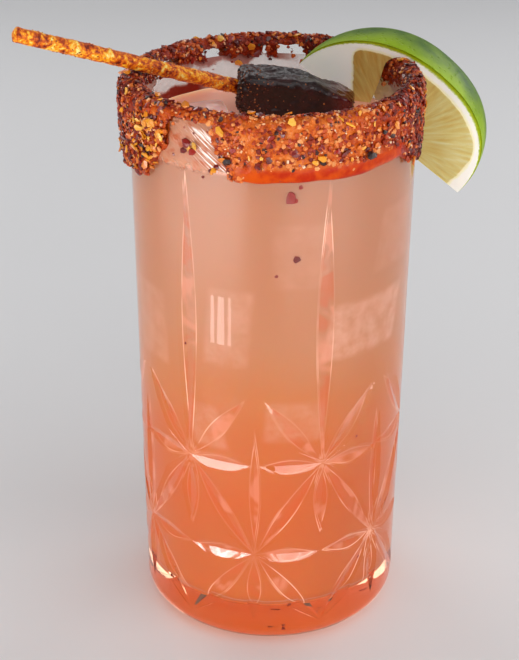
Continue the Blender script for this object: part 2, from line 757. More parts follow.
def from_points(name, points, faces):
    """A new object from its points and its faces."""
    mesh = bpy.data.meshes.new(name)
    mesh.from_pydata(points, [], faces)
    item = bpy.data.objects.new(name, mesh)
    bpy.context.collection.objects.link(item)
    return item


def lofted(name, rings, capped=False):
    """A skin over closed rings of points: the last ring joined to the first, or both ends capped."""
    count = len(rings[0])
    faces = []
    for index in range(len(rings) - capped):
        first, second = index * count, (index + 1) % len(rings) * count
        for place in range(count):
            beyond = (place + 1) % count
            faces.append((first + place, first + beyond, second + beyond, second + place))
    if capped:
        faces += [tuple(range(count)), tuple(range(second, second + count))]
    item = from_points(name, [point for ring in rings for point in ring], faces)
    face_outwards(item)
    return item


def stored(item, name, values):
    """Keeps one number for each vertex of a piece, for its material to read."""
    layer = item.data.attributes.new(name, "FLOAT", "POINT")
    layer.data.foreach_set("value", values)


def coat_ring(turn):
    """One section of the lumpy coat: its outer side, then its underside along the glass."""
    line = coat_line(turn)
    last = len(line) - 1
    points = []
    for index, (radius, height) in enumerate(line):
        before, after = line[max(0, index - 1)], line[min(last, index + 1)]
        way = Vector((after[0] - before[0], after[1] - before[1])).normalized()
        spot = on_round(turn, radius, height)
        edge = min(1.0, index / 3, (last - index) / 3)
        smooth_run = band_share(turn) * (1 - eased(0.0028, 0.0046, height - line[-1][1]))
        lumps = COARSE_LUMPS * noise.fractal(spot * 520, 1.0, 2.0, 3) + FINE_LUMPS * noise.noise(spot * 2100)
        raised = edge * (lumps * (1 - smooth_run) + RUN_SWELL * smooth_run)
        points.append(on_round(turn, radius - way.y * raised, height + way.x * raised))
    lip_r, lip_z = LIP_MIDDLE
    bare = WALL / 2 + COAT_GAP
    under = [(lip_r + bare * c, lip_z + bare * s) for c, s in arc(0.0, 0.0, 1.0, 0, 180, 6)]
    return points + [on_round(turn, radius, height) for radius, height in under]


def tone_of(degrees, outside):
    """How much paler than its middle tone the coat is at a turn: pale in front, dark at both sides."""
    front = 0.16 * math.exp(-(((degrees - 6) / 34) ** 2))
    right = 0.24 * math.exp(-(((degrees - 76) / 24) ** 2))
    left = 0.24 * math.exp(-(((degrees + 88) / 22) ** 2))
    return front - right - left - (0.0 if outside else 0.12)


def wiped_off(degrees, spot):
    """How far the coat's outside was wiped off at a spot, from 0 to 1: one ragged patch below the lip."""
    patch = within(*WIPED_TURNS, 7, 6, degrees + 4.0 * noise.noise(spot * 380))
    return patch * eased(-0.0012, 0.0002, LIP_MIDDLE[1] - spot.z)


def rubbed_away(degrees, spot):
    """How far the sauce was rubbed away at a spot on the back of the lip, from 0 to 1."""
    patch = max(within(*turns, 5, 5, degrees) for turns in RUBBED_TURNS)
    return patch * eased(-0.0012, 0.0004, LIP_MIDDLE[1] - spot.z)


def run_share(turn, spot, fade):
    """How much of a spot on the coat is the smooth sauce that ran at the front, fading out at a height."""
    low = LIP_MIDDLE[1] - skirt_depth(turn)
    return band_share(turn) * (1 - eased(0.0026, fade, spot.z - low))


coat = lofted("chilli_coat_base", [coat_ring(step * math.tau / COAT_ROUNDS) for step in range(COAT_ROUNDS)])
smooth(coat, 60.0)
runs, tones, covers = [], [], []
for vertex in coat.data.vertices:
    turn = math.atan2(vertex.co.x, -vertex.co.y)
    degrees = degrees_from_front(turn)
    outside = vertex.co.xy.length > LIP_MIDDLE[0]
    runs.append(outside * run_share(turn, vertex.co, 0.0042))
    tones.append(tone_of(degrees, outside))
    frayed = (not outside) * 0.92 * eased(0.0006, 0.0040, LIP_MIDDLE[1] - vertex.co.z)
    wiped = outside * wiped_off(degrees, vertex.co)
    covers.append(1.0 - max(rubbed_away(degrees, vertex.co), frayed, wiped))
stored(coat, "smooth_run", runs)
stored(coat, "tone", tones)
stored(coat, "cover", covers)

paste, place = new_material("chilli_paste", Specular_IOR_Level=0.15, Coat_Roughness=0.15)
run = place.kept("smooth_run")
fine = mottle(place, 1500.0, 4.0, 0.6)
paste_shade = mottle(place, 420.0, 5.0, 0.62) * 0.55 + fine * 0.3 + mottle(place, 150.0, 2.0) * 0.3
paste_colour = (paste_shade + (place.kept("tone") * 0.8 - 0.08)).ramp(
    (0.26, 84, 10, 1),
    (0.40, 146, 36, 4),
    (0.52, 190, 72, 10),
    (0.64, 216, 106, 28),
    (0.80, 230, 146, 80),
)
run_colour = blend_of(paint(178, 36, 0), paint(208, 76, 0), mottle(place, 260.0).step(0.35, 0.7))
feed(
    paste,
    Base_Color=blend_of(paste_colour, run_colour, run),
    Roughness=(1.0 - run) * 0.16 + 0.28,
    Coat_Weight=0.14 * (1 - run),
    Alpha=(place.kept("cover") + (mottle(place, 300.0, 5.0) - 0.5) * 2.2).step(0.34, 0.46),
    Normal=bump_of(fine * (1.0 - run * 0.8), 0.00035, 0.8),
)
dress(coat, paste, "chilli_coat", "rim_coat")


def coat_spot(turn, reach, hold):
    """A spot on the coat at a turn and a share of the way along its outer side, and the way it faces."""
    line = coat_line(turn)
    lengths = [math.dist(first, second) for first, second in zip(line, line[1:])]
    left = reach * sum(lengths)
    for (first, second), length in zip(zip(line, line[1:]), lengths):
        if left <= length:
            break
        left -= length
    share = min(1.0, left / max(length, 0.000001))
    radius, height = (a + (b - a) * share for a, b in zip(first, second))
    way = Vector((second[0] - first[0], second[1] - first[1])).normalized()
    facing = on_round(turn, -way.y, way.x)
    return on_round(turn, radius, height) + facing * hold, facing, sum(lengths)


def rough_grain(flatness):
    """One rough grain: a faceted ball pushed out of true, and flattened as its kind is."""
    clear_selection()
    bpy.ops.mesh.primitive_ico_sphere_add(subdivisions=1, radius=1.0)
    grain = bpy.context.active_object
    with edit_mode(grain):
        bpy.ops.transform.vertex_random(offset=0.45, seed=3)
        bpy.ops.transform.resize(value=(1.0, 1.0, flatness))
    return grain


def scattered(name, grain, spots, made, slot="chilli_coat"):
    """Copies of a grain as one piece, at spots with a place, a facing, a size, a stretch and a shade."""
    shape = np.array([vertex.co[:] for vertex in grain.data.vertices])
    corners = np.array([face.vertices[:] for face in grain.data.polygons])
    points, faces, shades = [], [], []
    for index, (spot, facing, size, stretch, shade) in enumerate(spots):
        twist = Matrix.Rotation(random.uniform(0, math.tau), 3, "Z")
        lean = Vector(facing) + Vector([random.uniform(-0.5, 0.5) for _ in range(3)])
        frame_of_grain = np.array(lean.to_track_quat("Z", "Y").to_matrix() @ twist)
        sizes = np.array([size * stretch, size / stretch ** 0.5, size])
        points.append((shape * sizes) @ frame_of_grain.T + np.array(spot))
        faces.append(corners + index * len(shape))
        shades += [shade] * len(shape)
    item = from_points(name, np.concatenate(points).tolist(), np.concatenate(faces).tolist())
    stored(item, "shade", shades)
    bpy.data.objects.remove(grain, do_unlink=True)
    with edit_mode(item):
        bpy.ops.mesh.normals_make_consistent(inside=False)
    dress(item, made, slot)


def coat_spots(count, sizes, likely, sink, longest=1.6, shades=(0.0, 1.0)):
    """Random spots all over the coat for one kind of grain, kept where the likely function allows."""
    spots = []
    while len(spots) < count:
        turn = random.uniform(-math.pi, math.pi)
        size = sizes[0] + (sizes[1] - sizes[0]) * random.random() ** 2
        spot, facing, length = coat_spot(turn, random.random(), size * sink)
        degrees = degrees_from_front(turn)
        outside = spot.xy.length > LIP_MIDDLE[0]
        chance = length / LONGEST_LINE * likely(degrees, spot.z, outside)
        chance *= 1 - 0.95 * rubbed_away(degrees, spot)
        if outside:
            chance *= (1 - 0.97 * run_share(turn, spot, 0.0040)) * (1 - 0.96 * wiped_off(degrees, spot))
        else:
            chance *= 1 - 0.75 * eased(0.0002, 0.0022, LIP_MIDDLE[1] - spot.z)
        chance *= 0.62 + 0.38 * eased(-0.25, 0.15, noise.noise(spot * 260))
        if random.random() < chance:
            shade = random.uniform(*shades) + tone_of(degrees, outside) + 0.35 * noise.noise(spot * 170)
            spots.append((spot, facing, size, random.uniform(1.0, longest), min(1.0, max(0.0, shade))))
    return spots


def grain_material(name, colours, roughness, wetness):
    """A material whose colour follows each grain's own shade, with a little mottle over it."""
    made, place = new_material(
        name, Roughness=roughness, Specular_IOR_Level=0.35, Coat_Weight=wetness, Coat_Roughness=0.15
    )
    varied = place.kept("shade") * 0.8 + mottle(place, 900.0) * 0.2
    feed(made, Base_Color=varied.ramp(*colours))
    return made


def crystal():
    """One crystal of salt or sugar: a cube with worn corners."""
    clear_selection()
    bpy.ops.mesh.primitive_cube_add(size=1.6)
    grain = bpy.context.active_object
    with edit_mode(grain):
        bpy.ops.mesh.bevel(offset=0.22, segments=1)
        bpy.ops.mesh.quads_convert_to_tris()
    return grain


def left_clump(degrees, z, outside):
    """Likelihood of the coarse bits, most of which stuck in the thick clump at the left."""
    return 0.05 + 0.95 * math.exp(-(((degrees + 53) / 10) ** 2)) * outside * (z < 0.1470)


def evenly(likelihood):
    """The same likelihood all over the coat."""
    return lambda degrees, z, outside: likelihood


CHILLI_SKIN = ((0.0, 70, 6, 4), (0.5, 120, 14, 6), (1.0, 168, 30, 12))
CHILLI_SEED = ((0.0, 214, 108, 8), (0.5, 236, 150, 26), (1.0, 248, 196, 84))
CHARRED = ((0.0, 26, 12, 10), (1.0, 74, 30, 18))
GROUND_CHILLI = (
    (0.0, 62, 6, 1), (0.25, 124, 24, 2), (0.5, 182, 62, 10), (0.75, 222, 114, 36), (1.0, 240, 170, 104),
)
STAINED_SALT = ((0.0, 204, 88, 30), (0.6, 234, 154, 90), (1.0, 248, 222, 190))

spots = coat_spots(5200, (0.00024, 0.00078), evenly(1.0), 0.25, shades=(0.05, 0.95))
ground_chilli = grain_material("ground_chilli", GROUND_CHILLI, 0.45, 0.12)
scattered("chilli_grains", rough_grain(0.8), spots, ground_chilli)
spots = coat_spots(700, (0.00020, 0.00042), evenly(1.0), 0.6)
scattered("salt_crystals", crystal(), spots, grain_material("stained_salt", STAINED_SALT, 0.18, 0.6))
spots = coat_spots(330, (0.0005, 0.0011), evenly(0.6), 0.35, 1.5)
scattered("chilli_flakes", rough_grain(0.3), spots, grain_material("chilli_skin", CHILLI_SKIN, 0.28, 0.7))
spots = coat_spots(150, (0.0005, 0.0012), left_clump, 0.8, 1.8)
scattered("chilli_seeds", rough_grain(0.4), spots, grain_material("chilli_seed", CHILLI_SEED, 0.3, 0.5))
spots = coat_spots(210, (0.0003, 0.0007), evenly(0.7), 0.6)
scattered("dark_flecks", rough_grain(0.6), spots, grain_material("charred_chilli", CHARRED, 0.4, 0.4))

# Thin sauce: a smear across the wiped patch, and the film that sauce and drink left inside above the drink.
# Both cling to the glass and are too thin to be solid, so the glass shows through where they are thinnest.
FILM_GAP = 0.00006
SMEAR_TURNS = (-60, -8)
SMEAR_HEIGHTS = (0.1340, 0.1486)
FILM_HEIGHTS = (0.1369, 0.1462)
FILM_RIPPLE = 0.00005


def film(name, turns, heights, radius_at, rows, columns):
    """A thin skin that follows the glass between two turns in degrees and two heights."""
    points, faces = [], []
    for row in range(rows + 1):
        height = heights[0] + (heights[1] - heights[0]) * row / rows
        for column in range(columns + 1):
            turn = math.radians(turns[0] + (turns[1] - turns[0]) * column / columns)
            ripple = FILM_RIPPLE * noise.noise(Vector((turn * 30 + height * 2600, height * 500, 2.0)))
            points.append(on_round(turn, radius_at(height) + ripple, height))
            if row < rows and column < columns:
                first = row * (columns + 1) + column
                faces.append((first, first + 1, first + columns + 2, first + columns + 1))
    item = from_points(name, points, faces)
    smooth(item, 60.0)
    return item


def outer_face(height):
    """Radius of a film on the glass's outside."""
    return outer_radius(height) + FILM_GAP


def inner_face(height):
    """Radius of a film on the glass's inside."""
    return outer_radius(height) - WALL - FILM_GAP


smear = film("wiped_smear", SMEAR_TURNS, SMEAR_HEIGHTS, outer_face, 40, 160)
thin_sauce, place = new_material("thin_sauce", Roughness=0.14, IOR=1.4)
height = place.axis("Z")
round_way = turn_from_front(place) * RIM_RADIUS
slanted = round_way * 0.62 + (height - 0.14) * 0.78
crossing = round_way * 0.78 - (height - 0.14) * 0.62
sweep = place.node("ShaderNodeCombineXYZ", {}, {"X": crossing * 90.0, "Y": slanted * 1500.0, "Z": 0.0})
streaks = mottle(sweep, 1.0, 3.0, 0.6)
patchy = mottle(place, 330.0, 3.0)
inside_patch = round_way.step(-0.0375, -0.0335) * round_way.step(-0.0075, -0.0115)
lower_edge = (height + (patchy - 0.5) * 0.006).step(0.1358, 0.1378)
pale_streaks = streaks.step(0.50, 0.60) * round_way.step(-0.0235, -0.0200) * round_way.step(-0.0064, -0.0094)
pale_streaks = pale_streaks * (height + round_way * 0.62).step(0.1262, 0.1284) * height.step(0.1476, 0.1466)
smear_colour = blend_of(paint(206, 134, 98), paint(190, 84, 30), patchy.step(0.50, 0.72))
feed(
    thin_sauce,
    Base_Color=blend_of(smear_colour, paint(255, 244, 236), pale_streaks),
    Alpha=inside_patch * lower_edge * (patchy * 0.5 + 0.55 + pale_streaks * 0.4),
    Normal=bump_of(streaks, 0.0005, 0.8),
)
dress(smear, thin_sauce, "chilli_coat")

inside_wall = film("inner_film", (-180, 180), FILM_HEIGHTS, inner_face, 40, 360)
face_outwards(inside_wall)
dried, place = new_material("dried_film", Roughness=0.3, IOR=1.4)
height = place.axis("Z")
turn_from_back = place.maths("ARCTAN2", place.axis("X"), place.axis("Y"))
patchy = mottle(place, 150.0, 4.0, 0.6)
specks = mottle(place, 620.0, 2.0, 0.5)
bits = specks.step(0.69, 0.73) * height.step(0.1385, 0.1405)
from_left = (turn_from_back + math.radians(52)).size()
dark_smear = from_left.step(0.46, 0.26) * (height + (patchy - 0.5) * 0.008).step(0.1414, 0.1396)
band_low = (height + (patchy - 0.5) * 0.012).step(0.1438, 0.1456)
orange_band = band_low * (turn_from_back + math.radians(20)).size().step(0.62, 0.34)
sauce_mask = dark_smear + orange_band * 0.7
film_colour = blend_of(paint(242, 218, 208), paint(150, 26, 2), sauce_mask)
feed(
    dried,
    Base_Color=blend_of(film_colour, paint(126, 26, 8), bits),
    Alpha=(patchy * 0.6 + 0.12) + sauce_mask + bits,
    Normal=bump_of(patchy + specks * 0.5, 0.0004, 0.5),
)
dress(inside_wall, dried, "chilli_coat")

# Drips and stray bits: sauce that ran and hung below the coat, and coarse bits that stuck off by themselves.
# Each drip is a bead flattened against the glass, fuller at its foot.
DRIP_DEPTH = 0.0013
# Each drip: its turn in degrees, its middle's height, its half width and its half length.
DRIPS = [
    (-60.0, 0.1338, 0.0019, 0.0034), (-66.5, 0.1312, 0.0022, 0.0030), (-91.0, 0.1330, 0.0024, 0.0034),
    (-96.0, 0.1368, 0.0020, 0.0030), (-53.0, 0.1388, 0.0014, 0.0022), (-15.5, 0.1406, 0.0013, 0.0020),
]


def ball(name, segments, rings):
    """A ball of radius 1, to be drawn out into a piece's shape."""
    clear_selection()
    bpy.ops.mesh.primitive_uv_sphere_add(segments=segments, ring_count=rings, radius=1.0)
    made = bpy.context.active_object
    made.name = name
    return made


def hanging_drip(turn, height, width, length):
    """One bead of sauce on the outer face, drawn out upwards from its full foot."""
    bead = ball("bead", 24, 16)
    turn = math.radians(turn)
    for vertex in bead.data.vertices:
        side, out, rise = vertex.co
        slim = 1.0 - 0.55 * eased(-0.3, 1.0, rise)
        here = height + rise * length * (1.3 if rise > 0 else 0.8)
        spot_turn = turn + side * width * slim / outer_radius(here)
        lumps = 1.0 + 0.25 * noise.noise(Vector((side * 2, rise * 2, turn * 9)))
        vertex.co = on_round(spot_turn, outer_radius(here) + out * DRIP_DEPTH * slim * lumps, here)
    return bead


drips = joined("sauce_drips", [hanging_drip(*values) for values in DRIPS])
face_outwards(drips)
smooth(drips, 60.0)
syrup, place = new_material("chilli_syrup", Roughness=0.08, IOR=1.45, Coat_Weight=0.6, Coat_Roughness=0.04)
feed(syrup, Base_Color=blend_of(paint(104, 8, 0), paint(176, 44, 4), mottle(place, 420.0).step(0.35, 0.7)))
dress(drips, syrup, "chilli_coat")


def stuck_on(face, bits, lift=0.0):
    """Spots stuck to a face of the glass: each bit's turn in degrees, height, size, stretch and shade."""
    spots = []
    for degrees, height, size, stretch, shade in bits:
        turn = math.radians(degrees)
        radius = face(height) + lift * size
        spots.append((on_round(turn, radius, height), on_round(turn, 1.0, 0.0), size, stretch, shade))
    return spots


RED_BITS = [
    (-34.5, 0.1432, 0.0013, 1.2, 0.6), (-32.0, 0.1412, 0.0010, 1.1, 0.9), (-36.0, 0.1410, 0.0009, 1.0, 0.3),
    (-22.0, 0.1384, 0.0007, 1.3, 0.4), (-24.5, 0.1370, 0.0006, 1.2, 0.2), (-16.5, 0.1412, 0.0012, 1.1, 0.2),
    (-41.0, 0.1392, 0.0004, 1.0, 0.5), (-27.5, 0.1352, 0.0004, 1.2, 0.5), (-14.5, 0.1392, 0.0010, 1.2, 0.8),
]
GOLD_BITS = [
    (-31.0, 0.1428, 0.0012, 1.3, 0.9), (-33.5, 0.1420, 0.0008, 1.2, 0.7), (-22.8, 0.1374, 0.0008, 1.2, 0.5),
    (-24.0, 0.1366, 0.0006, 1.3, 0.3), (-13.5, 0.1400, 0.0009, 1.2, 0.8),
]
BLACK_BITS = [
    (37.0, 0.1403, 0.0012, 1.1, 0.1), (39.5, 0.1398, 0.0008, 1.2, 0.5), (17.6, 0.1402, 0.0009, 1.2, 0.4),
    (-3.7, 0.1436, 0.0008, 1.2, 0.3), (-16.8, 0.1404, 0.0011, 1.2, 0.2), (-57.0, 0.1388, 0.0010, 1.2, 0.1),
    (-60.5, 0.1404, 0.0009, 1.3, 0.2), (-54.0, 0.1376, 0.0008, 1.2, 0.2), (-58.0, 0.1362, 0.0008, 1.1, 0.1),
    (66.9, 0.1462, 0.0008, 1.2, 0.2),
]
skin = grain_material("stray_chilli_skin", CHILLI_SKIN, 0.25, 0.5)
scattered("stray_chilli", rough_grain(0.55), stuck_on(outer_radius, RED_BITS, 0.3), skin)
seed = grain_material("stray_chilli_seed", CHILLI_SEED, 0.28, 0.5)
scattered("stray_seeds", rough_grain(0.45), stuck_on(outer_radius, GOLD_BITS, 0.5), seed)
char = grain_material("stray_charred_chilli", CHARRED, 0.35, 0.4)
scattered("stray_char", rough_grain(0.7), stuck_on(outer_radius, BLACK_BITS, 1.6), char)

# The zest: one bright sliver of orange peel, cut thin with a knife, its ends tapered.
# It fell across the lip and lies on the coat.
ZEST_ENDS = ((23.5, 0.0362, 0.1512), (29.0, 0.0392, 0.1484))
ZEST_WIDTH = 0.00084
ZEST_THICKNESS = 0.00044
ZEST_BOW = 0.0005


def zest_sliver():
    """The sliver: a ball drawn out between its two ends, and bowed a little."""
    sliver = ball("zest_sliver", 16, 24)
    first, last = (on_round(math.radians(degrees), radius, height) for degrees, radius, height in ZEST_ENDS)
    way = (last - first).normalized()
    side = way.cross(first.normalized()).normalized()
    out = side.cross(way)
    for vertex in sliver.data.vertices:
        share = vertex.co.z
        bowed = ZEST_BOW * (1 - share * share)
        middle = (first + last) / 2 + way * share * (last - first).length / 2 + side * bowed
        vertex.co = middle + side * vertex.co.x * ZEST_WIDTH / 2 + out * vertex.co.y * ZEST_THICKNESS / 2
    smooth(sliver, 60.0)
    return sliver


sliver = zest_sliver()
zest, place = new_material("orange_zest", Roughness=0.35)
shine = mottle(place, 500.0).step(0.35, 0.65)
feed(zest, Base_Color=blend_of(paint(238, 132, 4), paint(252, 196, 50), shine))
dress(sliver, zest, "chilli_coat")

# Sunk chilli: bits that hang in the drink against the wall, and bits that settled on the floor.
# They reach into the drink, which is too cloudy to show any deeper ones.
SETTLED_BITS = 16
SUNK_BITS = [
    (6.5, 0.1309, 0.0017, 1.2, 0.75), (7.6, 0.1300, 0.0010, 1.3, 0.9), (4.5, 0.1352, 0.0006, 1.2, 0.7),
    (9.2, 0.1146, 0.0010, 1.2, 0.2), (1.2, 0.1103, 0.0005, 1.3, 0.5), (77.0, 0.1008, 0.0007, 1.2, 0.8),
    (10.5, 0.1335, 0.0006, 1.2, 0.8), (45.0, 0.0220, 0.0006, 1.3, 0.8),
    (40.0, 0.0610, 0.0004, 1.2, 0.8), (-40.0, 0.0880, 0.0004, 1.2, 0.5), (60.0, 0.0360, 0.0004, 1.2, 0.7),
    (150.0, 0.0900, 0.0010, 1.2, 0.5), (-130.0, 0.0500, 0.0008, 1.2, 0.5), (110.0, 0.0300, 0.0007, 1.2, 0.6),
]


def behind_wall(height):
    """Radius at which the drink meets the wall."""
    return outer_radius(height) - WALL + INTO_WALL


sunk_spots = stuck_on(behind_wall, SUNK_BITS)
for _ in range(SETTLED_BITS):
    radius, turn = random.uniform(0.006, 0.026), random.uniform(-math.pi, math.pi)
    spot = on_round(turn, radius, FLOOR - INTO_WALL)
    size = random.uniform(0.0004, 0.0010)
    sunk_spots.append((spot, Vector((0, 0, -1)), size, 1.3, random.uniform(0.2, 0.9)))
soaked = grain_material("soaked_chilli", CHILLI_SKIN, 0.4, 0.0)
scattered("sunk_chilli", rough_grain(0.35), sunk_spots, soaked, "cloudy_drink")

# The lime wedge: cut lengthwise from a whole lime, slit from its core edge and pushed over the coated lip.
# Thin green zest, a white pith that is thicker at the two ends, and wet flesh with its juice sacs.
LIME_RADIUS = 0.0264
LIME_HALF_LENGTH = 0.0276
LIME_CENTRE = Vector((0.0287, 0.0203, 0.1294))
LIME_ALONG = Vector((0.785, -0.152, -0.600)).normalized()
LIME_UP = Vector((0.493, -0.434, 0.754)).normalized()
LIME_AWAY = LIME_UP.cross(LIME_ALONG).normalized()
LIME_WEDGE = math.radians(64.0)
SLIT_FOOT = 0.1000
SLIT_MARGIN = 0.0009
FLESH_MIDDLE = 0.0034
PITH = 0.0037
FLESH_CORNER = 0.0030
FLESH_INNER = 0.0092
FLESH_OUTER = 0.0238


def cut_lime():
    """The wedge: a ball drawn out to a lime's shape, cut by two faces that meet at its core, and slit."""
    lime = ball("cut_lime_wedge", 96, 72)
    for vertex in lime.data.vertices:
        share = vertex.co.z
        power = 2.0 if share < 0 else 2.4
        size = max(0.0, 1.0 - abs(share) ** power) ** (1 / power)
        ring = Vector((vertex.co.x, vertex.co.y))
        ring = ring.normalized() * size * LIME_RADIUS if ring.length > 0.000001 else ring
        vertex.co = Vector((share * LIME_HALF_LENGTH, ring.x, ring.y))
    back_normal = Matrix.Rotation(-LIME_WEDGE, 3, "X") @ Vector((0, 1, 0))
    for normal in (Vector((0, -1, 0)), back_normal):
        with edit_mode(lime):
            bpy.ops.mesh.bisect(
                plane_co=(0, 0, 0), plane_no=normal, use_fill=True, clear_outer=True, threshold=0.000001
            )
    axes = Matrix((LIME_ALONG, LIME_AWAY, LIME_UP)).transposed().to_4x4()
    lime.matrix_world = Matrix.Translation(LIME_CENTRE) @ axes
    select_only(lime)
    bpy.ops.object.transform_apply()
    face_outwards(lime)
    lip_r, lip_z = LIP_MIDDLE
    over = arc(lip_r, lip_z, WALL / 2 + COAT_TOP + SLIT_MARGIN, 180, 0, 12)
    outside_foot = (outer_radius(SLIT_FOOT) + COAT_TOP + SLIT_MARGIN, SLIT_FOOT)
    inside_foot = (outer_radius(SLIT_FOOT) - WALL - COAT_INSIDE - SLIT_MARGIN, SLIT_FOOT)
    slit = turned("slit", [*over, outside_foot, inside_foot, over[0]], 96)
    face_outwards(slit)
    cut_away(lime, slit)
    smooth(lime, 35.0)
    return lime


def axis_of(place, centre, axis):
    """How far a place lies from a centre along an axis."""
    moved = place.node("ShaderNodeVectorMath", {"operation": "SUBTRACT"}, {0: place, 1: centre})
    return moved.node("ShaderNodeVectorMath", {"operation": "DOT_PRODUCT"}, {0: moved, 1: axis}, "Value")


lime = cut_lime()
fruit, place = new_material(
    "fresh_lime", Specular_IOR_Level=0.25, Coat_Roughness=0.12, Emission_Strength=0.20,
    Subsurface_Weight=0.25, Subsurface_Radius=(1.0, 0.9, 0.3), Subsurface_Scale=0.003,
)
along = axis_of(place, LIME_CENTRE, LIME_ALONG)
upwards = axis_of(place, LIME_CENTRE, LIME_UP)
away = axis_of(place, LIME_CENTRE, LIME_AWAY)
ring = (upwards * upwards + away * away) ** 0.5
share = along / LIME_HALF_LENGTH
power = share.maths("GREATER_THAN", share, 0.0) * 0.4 + 2.0
fullness = (1.0 - share.size() ** power).at_least(0.0) ** (1.0 / power)
under_skin = fullness * LIME_RADIUS - ring
ragged = (mottle(place, 380.0) - 0.5) * 0.0008
short_of_pith = (PITH + FLESH_CORNER - (under_skin + ragged)).at_least(0.0)
short_of_inner = (FLESH_CORNER - FLESH_INNER - (along + ring * 0.66 + ragged * 2.0)).at_least(0.0)
short_of_outer = (along + ragged * 2.0 + (FLESH_CORNER - FLESH_OUTER)).at_least(0.0)
short = short_of_pith * short_of_pith + short_of_inner * short_of_inner + short_of_outer * short_of_outer
short = short ** 0.5
flesh = short.step(FLESH_CORNER + 0.0002, FLESH_CORNER - 0.0003)
about = ring.maths("ARCTAN2", ring, along - FLESH_MIDDLE)
reach = ((along - FLESH_MIDDLE) ** 2.0 + ring * ring) ** 0.5
fan = place.node("ShaderNodeCombineXYZ", {}, {"X": about * 7.0, "Y": reach * 60.0, "Z": away * 40.0})
cell_sockets = {"Vector": fan, "Scale": 2.2, "Smoothness": 0.4}
sacs = fan.node("ShaderNodeTexVoronoi", {"feature": "SMOOTH_F1"}, cell_sockets)
fibres = mottle(fan, 3.0, 4.0, 0.6, 0.3)
flesh_colour = (fibres * 0.45 + sacs * 0.3 + along * 9.0 + 0.06).ramp(
    (0.20, 200, 162, 80),
    (0.45, 214, 194, 112),
    (0.65, 220, 212, 142),
    (0.85, 230, 230, 188),
)
near_flesh = short.step(FLESH_CORNER + 0.0013, FLESH_CORNER)
pith_colour = blend_of(paint(246, 249, 240), paint(238, 234, 192), near_flesh)
skin_noise = mottle(place, 120.0, 4.0)
paler_skin = skin_noise.step(0.30, 0.72) * 0.45 + away.step(0.0075, 0.0) * 0.6
skin_colour = blend_of(paint(44, 88, 0), paint(150, 180, 0), paler_skin)
dotted = under_skin + (mottle(place, 1100.0) - 0.5) * 0.0010
inner_skin = blend_of(skin_colour, paint(180, 204, 24), dotted.step(0.0002, 0.0008))
past_skin = dotted.step(0.0009, 0.0018)
colour = blend_of(blend_of(inner_skin, pith_colour, past_skin), flesh_colour, flesh)
lit_through = blend_of((0.0, 0.0, 0.0, 1.0), colour, past_skin * (1.0 - flesh * 0.45))
pores = place.node("ShaderNodeTexVoronoi", {}, {"Vector": place, "Scale": 700.0}).step(0.0, 0.35)
on_skin = under_skin.step(0.0005, 0.0002)
relief = pores * on_skin * 0.6 + (fibres + sacs * 0.6) * flesh
feed(
    fruit,
    Base_Color=colour,
    Emission_Color=lit_through,
    Roughness=flesh * -0.18 + 0.46,
    Coat_Weight=flesh * 0.35,
    Normal=bump_of(relief, 0.0006, 0.6),
)
dress(lime, fruit, "lime", "lime_wedge")


# The candy: a block of tamarind pulp boiled with sugar and chilli until it sets, sticky and nearly black.
# It was pressed by hand round the stick's end, so its faces are uneven and one end is torn.
CANDY_CENTRE = Vector((0.0055, 0.0132, 0.1410))
CANDY_LOW = 0.1365
CANDY_GRAIN = 0.00034
CANDY_DENTS = 0.0007
CANDY_FINE_DENTS = 0.00022
CANDY_TEARS = 0.0006
SUGAR_TRIES = 2400
SUGAR_SIZES = (0.00010, 0.00027)


def copied(node, name):
    """A copy of one of the solids' meshes, welded, to be worked up into a finished piece."""
    item = bpy.data.objects.new(name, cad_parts[node].data.copy())
    bpy.context.collection.objects.link(item)
    item.matrix_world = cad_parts[node].matrix_world.copy()
    select_only(item)
    bpy.ops.object.transform_apply()
    face_outwards(item)
    return item


def worn(item, grain, rounds, factor):
    """Makes an object's mesh fine, to a grain in metres, and rubs its edges round."""
    fine = item.modifiers.new("Fine", "REMESH")
    fine.mode = "VOXEL"
    fine.voxel_size = grain
    soft = item.modifiers.new("Soft", "SMOOTH")
    soft.iterations = rounds
    soft.factor = factor
    apply_modifiers(item)


def pressed_candy():
    """The candy: the plain block made fine and smooth, then dented, and roughened at its torn end."""
    candy = copied("tamarind_candy", "pressed_candy")
    worn(candy, CANDY_GRAIN, 14, 0.6)
    normals = [Vector(normal.vector) for normal in candy.data.vertex_normals]
    for vertex, normal in zip(candy.data.vertices, normals):
        torn = 1 - eased(-0.0100, -0.0045, vertex.co.x)
        narrowed = 1.0 - 0.34 * eased(0.004, 0.0205, vertex.co.x) ** 1.5
        vertex.co.y = CANDY_CENTRE.y + (vertex.co.y - CANDY_CENTRE.y) * (0.5 + narrowed / 2)
        vertex.co.z = CANDY_LOW + (vertex.co.z - CANDY_LOW) * narrowed
        vertex.co.x *= 1.0 + 0.05 * eased(0.0, 0.01, vertex.co.x)
        dents = CANDY_DENTS * noise.noise(vertex.co * 210) + CANDY_FINE_DENTS * noise.noise(vertex.co * 620)
        tears = CANDY_TEARS * noise.fractal(vertex.co * 900, 1.0, 2.0, 4)
        vertex.co += normal * (dents + tears * (0.15 + torn) - 0.0002)
    smooth(candy, 60.0)
    return candy


